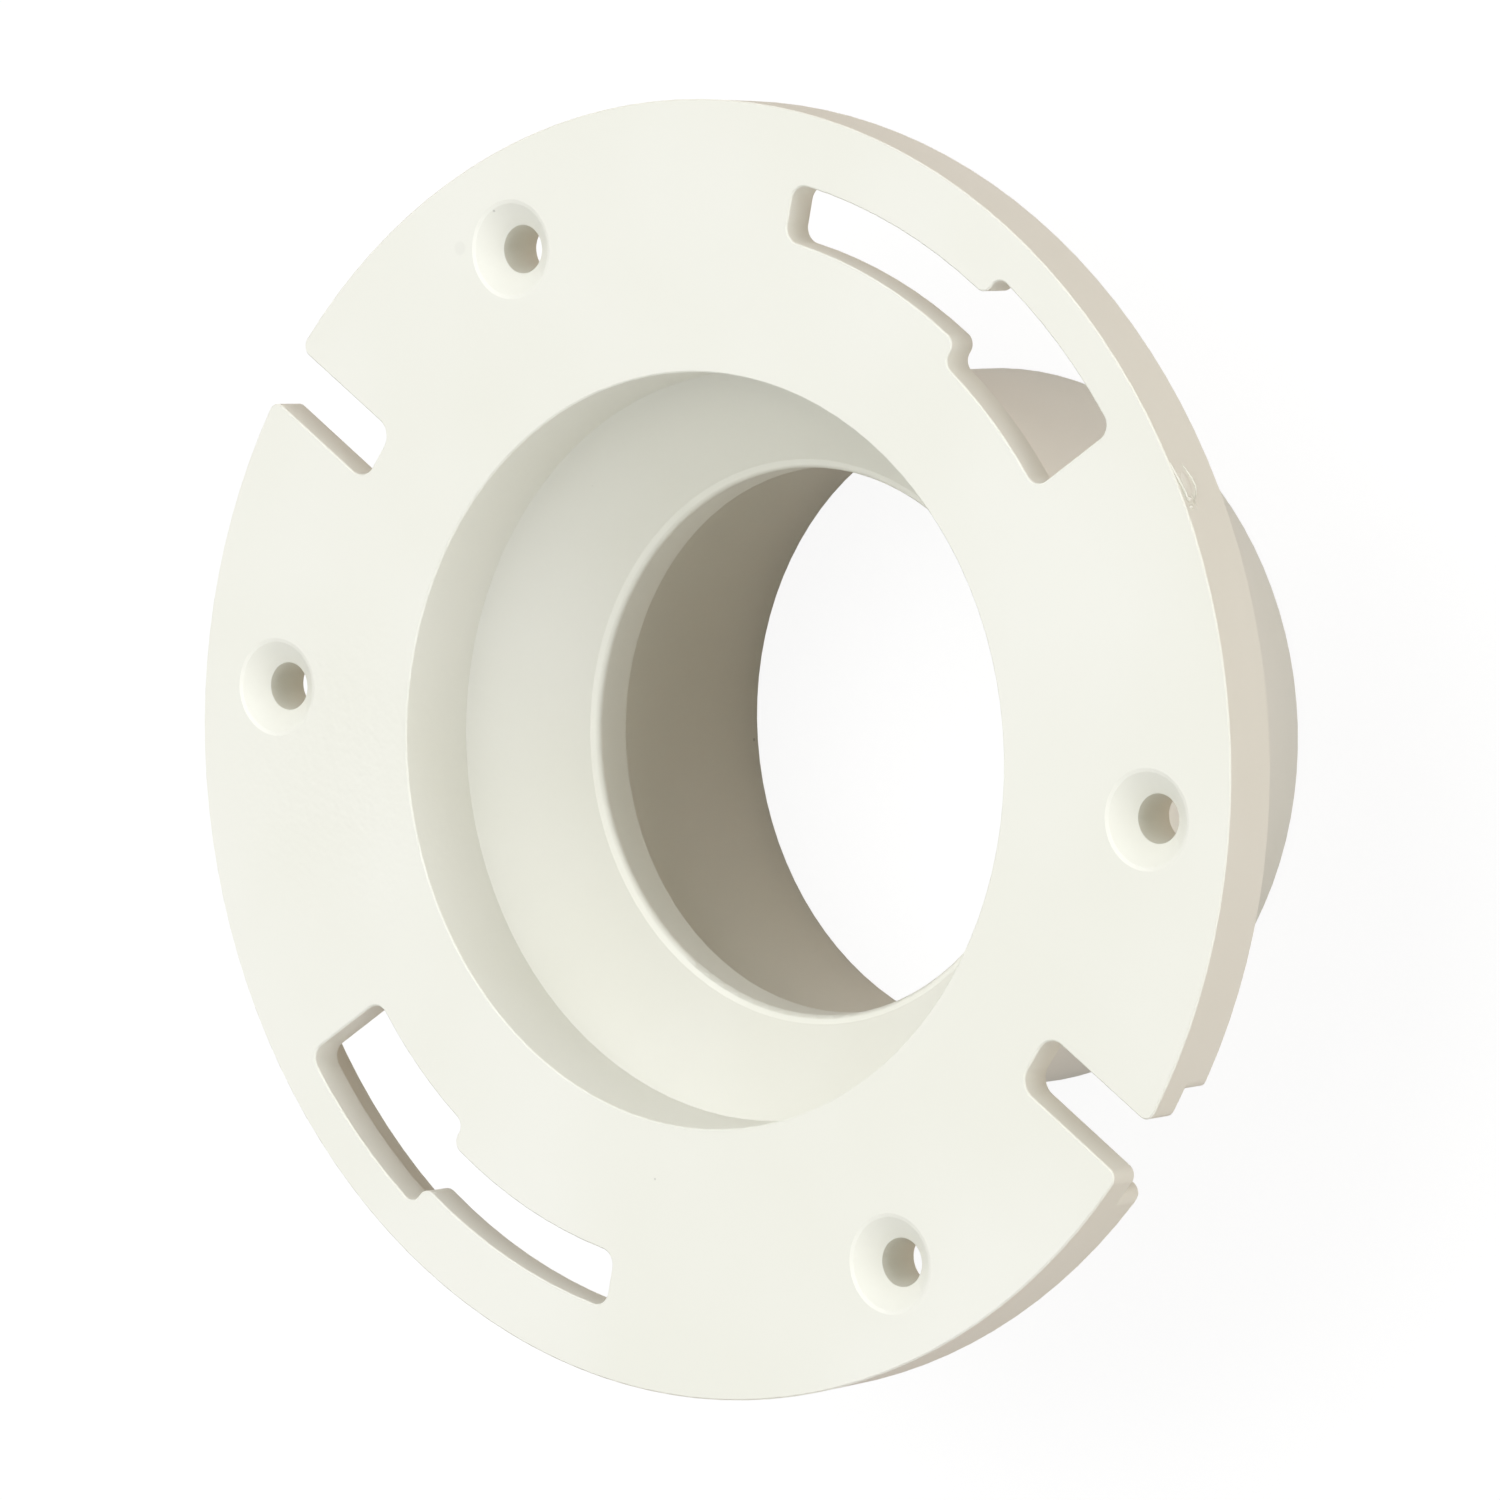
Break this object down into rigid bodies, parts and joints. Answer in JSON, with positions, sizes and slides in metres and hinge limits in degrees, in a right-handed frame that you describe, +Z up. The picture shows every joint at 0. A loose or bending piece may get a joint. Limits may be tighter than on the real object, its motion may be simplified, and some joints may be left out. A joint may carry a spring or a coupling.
{
  "type": "closet flange",
  "caption": "Round white moulded plastic closet flange: slotted floor plate over a short hub, with a funnel, a pipe stop and a socket for a drain pipe inside.",
  "frame": {"origin": "centre of the hub's lower end, which is the mouth of the pipe socket, on the flange's axis", "axes": "+Z up along the axis, from the hub to the face of the plate; the two open radial slots lie along X; the two stepped bolt slots are centred on Y"},
  "size_m": [0.1774, 0.1778, 0.0706],
  "materials": {
    "white_pvc": "smooth moulded white PVC with a satin sheen"
  },
  "bodies": {
    "root": {"closet_flange": "white_pvc"}
  },
  "joints": []
}
